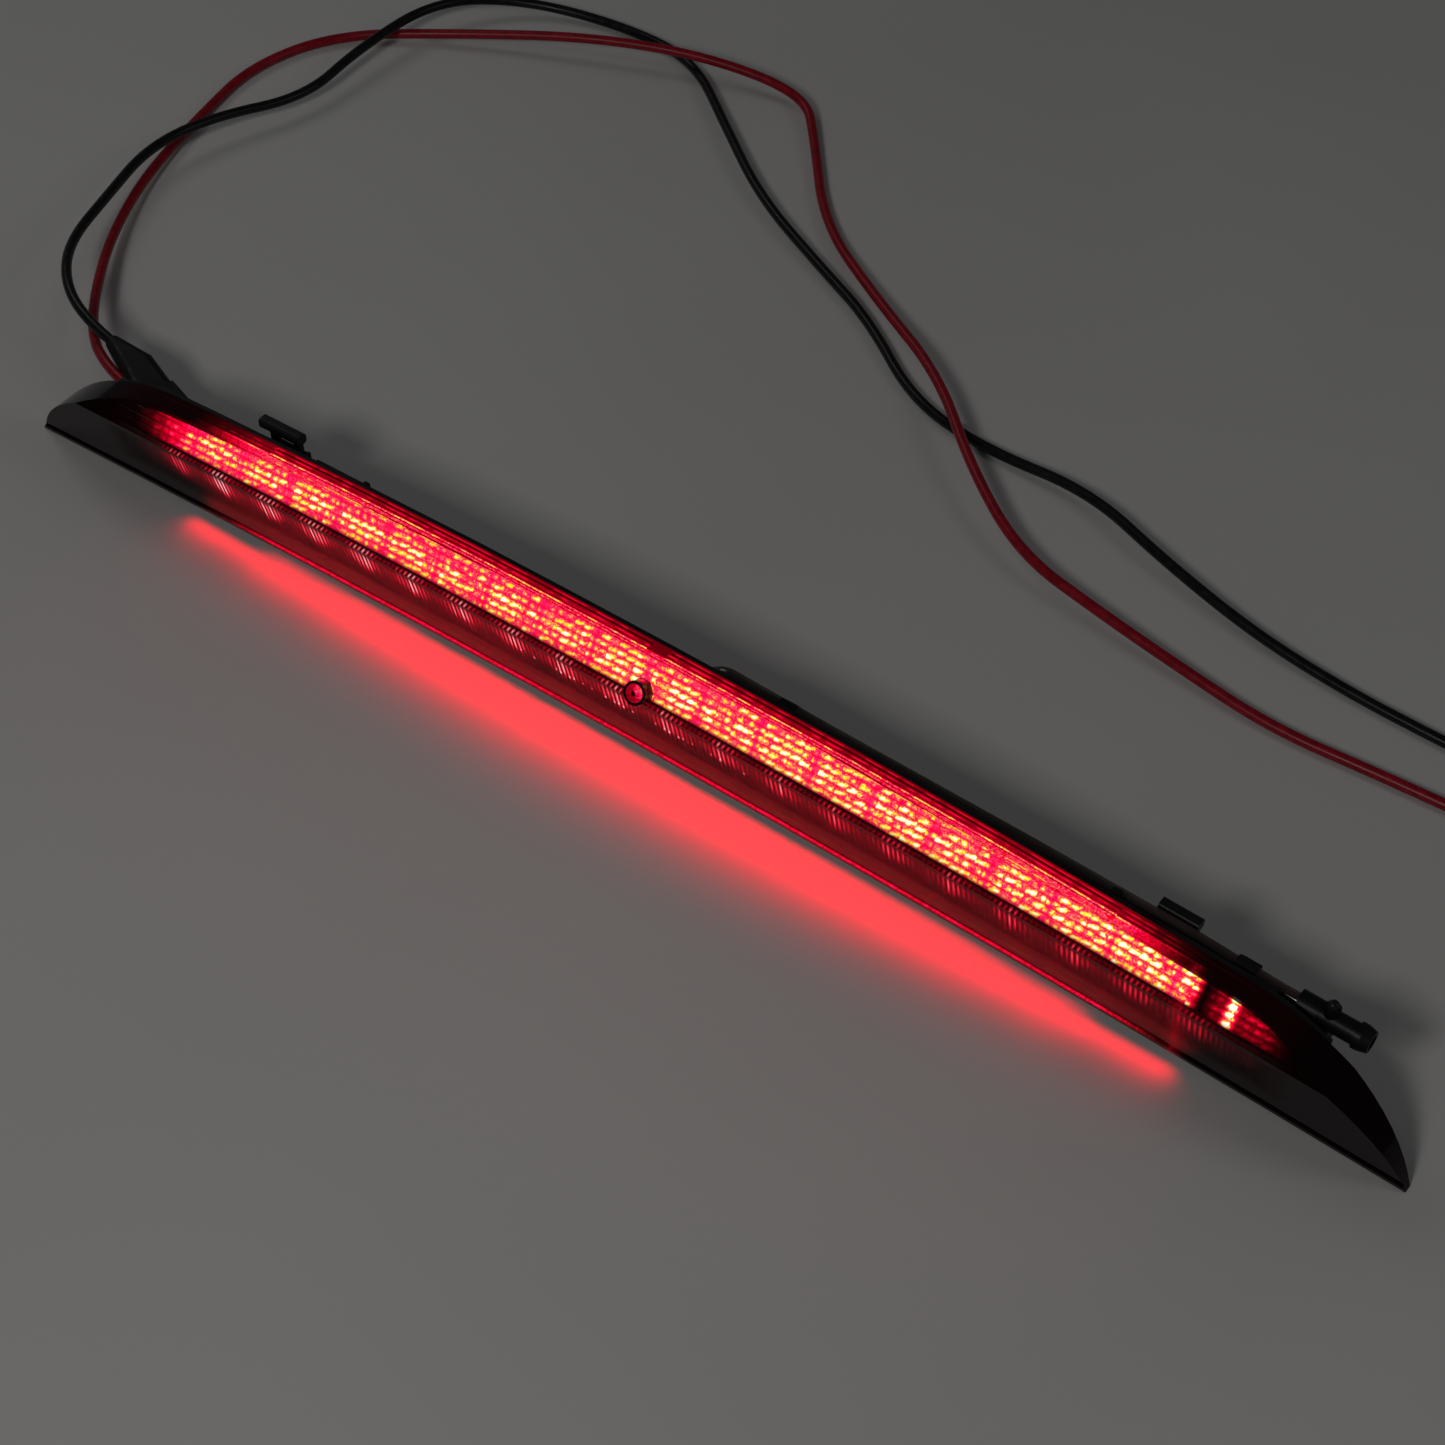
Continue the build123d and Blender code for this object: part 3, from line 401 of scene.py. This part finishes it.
def metal(name, colour, roughness, tarnish):
    """Turned or stamped metal with fine tool lines and slight tarnish."""
    tree = Tree(name)
    lines = tree.noise(2600.0, 2.0, place=tree.node(
        "Mapping", {0: tree.place, 3: (1.0, 0.1, 0.3)}).outputs[0])
    stain = tree.noise(420.0, 4.0)
    base = tree.mix(tree.smooth(stain, 0.4, 0.8), colour, tarnish)
    rough = tree.smooth(lines * 0.6 + stain * 0.4, 0.3, 0.7, roughness - 0.08, roughness + 0.12)
    return tree.finish(Base_Color=base, Metallic=1.0, Roughness=rough,
                       Normal=tree.bump(lines, 0.00002, 0.3))


def connector(name, sleeve, pin_from, outward):
    """Crimped sleeve and the bright pin that stands out of it along Y."""
    tree = Tree(name)
    split = tree.node("SeparateXYZ", {0: tree.place})
    run = (Value(tree, split.outputs[1]) - pin_from) * outward
    bright = tree.smooth(run, 0.0, 0.0001)
    wear = tree.noise(900.0, 3.0)
    skin = tree.mix(tree.smooth(wear, 0.35, 0.75), sleeve, tuple(c * 1.6 + 0.004 for c in sleeve))
    steel = tree.mix(tree.smooth(wear, 0.35, 0.75), (0.66, 0.62, 0.52), (0.42, 0.37, 0.27))
    return tree.finish(Base_Color=tree.mix(bright, skin, steel), Metallic=bright,
                       Roughness=tree.smooth(wear, 0.3, 0.7, 0.28, 0.44),
                       Normal=tree.bump(wear, 0.00003, 0.3))


MATERIALS = {
    "outer_lens": smoked_lens(),
    "inner_optic": pillow_optic(),
    "lower_optic": flute_optic(),
    # the white reflector's grey base is painted shade, darker than its white plastic
    "light_box": lit_inside("white_reflector", (0.30, 0.27, 0.26), (0.5, 0.0, 0.012), 0.7),
    "led_board": lit_inside("circuit_board", (0.010, 0.05, 0.02), (0.22, 0.0, 0.006), 0.5),
    "leds": lit_inside("lamp_chip", (0.7, 0.6, 0.3), (1.0, 0.12, 0.05), 3.0),
    "resistors": moulded("resistor_body", (0.014, 0.014, 0.014), 0.5),
    "board_screws": metal("screw_steel", (0.56, 0.56, 0.57), 0.3, (0.34, 0.33, 0.31)),
    "board_header": moulded("header_black", (0.014, 0.014, 0.015), 0.5),
    "inner_leads": cord_plastic("inner_lead", (0.30, 0.006, 0.012), (0.42, 0.012, 0.02)),
    "rear_housing": moulded("housing_black", (0.005, 0.005, 0.0055), 0.48, 0.14),
    "seal_bead": rubber("seal_rubber", (0.010, 0.010, 0.010), 0.7),
    "nozzle_body": jet_plastic("jet_housing"),
    "jet_ball": jet_plastic("jet_black"),
    "nozzle_seal": rubber("nozzle_rubber", (0.010, 0.010, 0.010), 0.7),
    "washer_hose": smoke_hose(),
    "hose_clips": moulded("hose_clip", (0.005, 0.005, 0.0055), 0.4, 0.1),
    "coupling_body": moulded("coupling_black", (0.0045, 0.0045, 0.005), 0.42, 0.1, 3000.0),
    "coupling_seal": rubber("coupling_rubber", (0.012, 0.012, 0.012), 0.6),
    "release_button": moulded("button_black", (0.012, 0.012, 0.013), 0.34, 0.1),
    "button_spring": metal("spring_steel", (0.6, 0.6, 0.6), 0.25, (0.42, 0.40, 0.38)),
    "left_clip": moulded("clip_black_left", (0.009, 0.009, 0.010), 0.36, 0.1),
    "right_clip": moulded("clip_black_right", (0.009, 0.009, 0.010), 0.36, 0.1),
    "socket_pins": metal("pin_brass", (0.72, 0.56, 0.26), 0.3, (0.46, 0.33, 0.14)),
    "plug_body": moulded("plug_black", (0.005, 0.005, 0.0055), 0.4, 0.12),
    "plug_latch": moulded("latch_black", (0.006, 0.006, 0.0065), 0.36, 0.1),
    "terminals": metal("terminal_brass", (0.72, 0.56, 0.26), 0.3, (0.46, 0.33, 0.14)),
    "plug_boot": rubber("boot_rubber", (0.004, 0.004, 0.0045), 0.45),
    "boot_leads": cord_plastic("boot_lead", (0.30, 0.006, 0.012), (0.42, 0.012, 0.02)),
}
BLACK_SKIN = cord_plastic("black_insulation", (0.003, 0.003, 0.0035), (0.008, 0.008, 0.009))
RED_SKIN = cord_plastic("red_insulation", (0.24, 0.002, 0.010), (0.36, 0.005, 0.018))

for name, material in MATERIALS.items():
    nodes[name].data.materials.clear()
    nodes[name].data.materials.append(material)


# ---- loose wires -------------------------------------------------------
BLACK_ROUTE = [
    (-207.8, 26.6, 13.6), (-221, 28.5, 14.8), (-236.5, 37, 15.2), (-249.5, 52, 13), (-258, 75, 10.5),
    (-267.5, 102, 7.8), (-262.5, 125, 7.5), (-249, 151.5, 5), (-250, 178, 7.5), (-247.5, 212.5, 7.5),
    (-228, 233.5, 4), (-195.5, 243.5, 1.6), (-166.5, 242, 1.6), (-137.5, 219, 3), (-108.5, 197, 3),
    (-76, 182, 2), (-51, 171, 1.6), (-22, 150, 1.6), (6, 145, 1.6), (38.5, 145.5, 4), (68.5, 134.5, 4),
    (99, 127, 2.5), (126, 124, 1.6), (150, 123, 1.5), (175, 123, 1.5)]
RED_ROUTE = [
    (-194.1, 16.9, 12.6), (-205, 19.4, 13), (-220, 30, 9.5), (-234.5, 46, 7), (-249.5, 67, 5),
    (-263.5, 95.5, 3), (-272, 128, 1.6), (-277, 157, 1.6), (-266.5, 186, 1.6), (-234, 207, 3.5),
    (-195.5, 226, 7.5), (-160, 239.5, 7.5), (-126.5, 246, 3.5), (-112.5, 231, 1.6), (-86.5, 199, 1.6),
    (-53, 178, 3.5), (-18.5, 157.5, 7.5), (9.5, 131, 7.5), (36.5, 113, 5.5), (64, 108, 4.5),
    (91, 104.5, 3), (119, 101.5, 1.6), (147, 103.5, 1.6), (174, 105, 1.5), (202, 105, 1.5)]
COIL_AHEAD = {1: 11.0, -1: 12.0}   # from the end of a route to its coil's centre, by winding side
END_OF_COIL = [(8, 15.2, 12.4), (12.5, 12.0, 13.8), (13, 9, 14.2)]   # to the connector, from there
SPLINE_PULL = 0.97    # a coil's spline runs this much inside its own points


def coil_points(last, side):
    """Turns of a coil that starts beyond the end of a route, and the run up to its connector."""
    x, y = last[0] + COIL_AHEAD[side], last[1] + side * COIL_R
    radius = COIL_R / SPLINE_PULL
    points = []
    steps = COIL_TURNS * COIL_STEPS
    for k in range(steps + 1):
        angle = side * (2 * math.pi * k / COIL_STEPS - math.pi / 2)
        points.append((x + radius * math.cos(angle), y + radius * math.sin(angle),
                       WIRE_R + 2 * WIRE_R * COIL_TURNS * k / steps))
    return points + [(x + px, y - side * py, z) for px, py, z in END_OF_COIL]


def loose_wire(colour, route, side, material):
    """One smooth spline from the boot to the connector, standing for the wire and its coil."""
    points = route + coil_points(route[-1], side)
    data = bpy.data.curves.new(colour + "_lead", "CURVE")
    data.dimensions = "3D"
    data.resolution_u = 10
    data.bevel_depth = WIRE_R * MM
    data.bevel_resolution = 6
    data.use_fill_caps = True
    spline = data.splines.new("NURBS")
    spline.points.add(len(points) - 1)
    for point, (x, y, z) in zip(spline.points, points):
        point.co = (x * MM, (y + SHIFT_Y) * MM, z * MM, 1.0)
    spline.order_u = 3
    spline.use_endpoint_u = True
    wire = bpy.data.objects.new(colour + "_lead", data)
    data.materials.append(material)
    scene.collection.objects.link(wire)
    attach(wire, "lamp")
    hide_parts(colour + "_wire", colour + "_coil")
    x, y, z = route[0]
    x * MM
    (y + SHIFT_Y) * MM
    z * MM


loose_wire("black", BLACK_ROUTE, 1, BLACK_SKIN)
loose_wire("red", RED_ROUTE, -1, RED_SKIN)
for colour, side, sleeve in (("black", 1, (0.010, 0.010, 0.011)), ("red", -1, (0.34, 0.005, 0.014))):
    low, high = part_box(colour + "_connector")
    shoulder = high.y - 0.0055 if side > 0 else low.y + 0.0055
    nodes[colour + "_connector"].data.materials.clear()
    nodes[colour + "_connector"].data.materials.append(
        connector(colour + "_connector", sleeve, shoulder, side))


# ---- floor and light ---------------------------------------------------
def floor_paint():
    tree = Tree("floor")
    cloud = tree.noise(3.0, 3.0)
    grit = tree.noise(600.0, 2.0)
    base = tree.mix(tree.smooth(cloud, 0.3, 0.7), (0.60, 0.585, 0.565), (0.66, 0.645, 0.625))
    return tree.finish(Base_Color=base, Roughness=tree.smooth(grit, 0.3, 0.7, 0.5, 0.62))


def add_floor():
    mesh = bpy.data.meshes.new("floor")
    half = 6.0
    mesh.from_pydata([(-half, -half, 0), (half, -half, 0), (half, half, 0), (-half, half, 0)], [],
                     [(0, 1, 2, 3)])
    mesh.materials.append(floor_paint())
    floor = bpy.data.objects.new("floor", mesh)
    floor.location.z = -0.0002
    scene.collection.objects.link(floor)


def area_light(name, place, aim, size, power, colour=(1, 1, 1), width=None, spread=None):
    """A light of this size, or of this width along X, that looks at aim."""
    data = bpy.data.lights.new(name, "AREA")
    data.energy, data.color = power, colour
    data.shape, data.size, data.size_y = "RECTANGLE", width or size, size
    if spread:
        data.spread = spread
    light = bpy.data.objects.new(name, data)
    light.location = place
    light.rotation_euler = (Vector(aim) - Vector(place)).to_track_quat("-Z", "Y").to_euler()
    scene.collection.objects.link(light)
    return light


# the red light that leaves under the bar: a row of small lights, higher where the bar is raised
GLOW_HALF, GLOW_STEPS = 0.152, 12
GLOW_LOW, GLOW_RISE = 0.0022, 0.0098
GLOW_POWER = 2.8      # watts for each metre above the floor, shared by the row


def add_light():
    area_light("key", (0.06, -0.86, 0.80), (0, 0, 0), 0.22, 2.1)
    area_light("left_fill", (-0.9, 0.25, 0.75), (0, 0.1, 0), 0.4, 0.5)
    area_light("right_fill", (0.95, 0.35, 0.75), (0, 0.1, 0), 0.4, 0.5)
    for k in range(GLOW_STEPS):
        x = GLOW_HALF * ((2 * k + 1) / GLOW_STEPS - 1.0)
        z = GLOW_LOW + GLOW_RISE * (1.0 - (x / GLOW_HALF) ** 2)
        glow = area_light("lamp_glow_%d" % k, (x, -0.0095, z), (x, -0.0125, 0.0), 0.002,
                          GLOW_POWER * z / GLOW_STEPS, (1.0, 0.0, 0.012),
                          width=2 * GLOW_HALF / GLOW_STEPS, spread=math.radians(120))
        glow.visible_camera = glow.visible_glossy = False
    world = bpy.data.worlds.new("studio")
    world.use_nodes = True
    world.node_tree.nodes["Background"].inputs[0].default_value = (0.92, 0.95, 1.0, 1.0)
    world.node_tree.nodes["Background"].inputs[1].default_value = 0.035
    scene.world = world
    scene.view_settings.view_transform = "Standard"


add_floor()
add_light()
